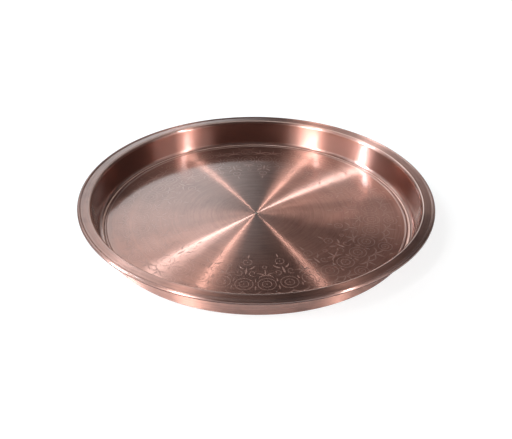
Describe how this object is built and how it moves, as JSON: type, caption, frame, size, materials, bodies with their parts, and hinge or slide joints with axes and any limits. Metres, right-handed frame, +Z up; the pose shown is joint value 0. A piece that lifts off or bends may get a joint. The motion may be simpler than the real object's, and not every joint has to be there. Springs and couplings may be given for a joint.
{
  "type": "serving tray",
  "caption": "Round shallow serving tray of brushed antique copper, with a steep wall, a flat rim and a rolled edge over a steel wire; carries a tea set or plates.",
  "frame": {"origin": "centre of the flat underside, which rests on the table", "axes": "+Z up, out of the tray's open side, along its axis of symmetry; the tray is round, so X and Y only fix where the wire's ends meet, on +X"},
  "size_m": [0.4, 0.4, 0.033],
  "materials": {
    "copper": "antique copper, circular brushing under clear lacquer",
    "steel_wire": "drawn mild steel wire"
  },
  "bodies": {
    "root": {"tray_pan": "copper", "rim_wire": "steel_wire"}
  },
  "joints": []
}
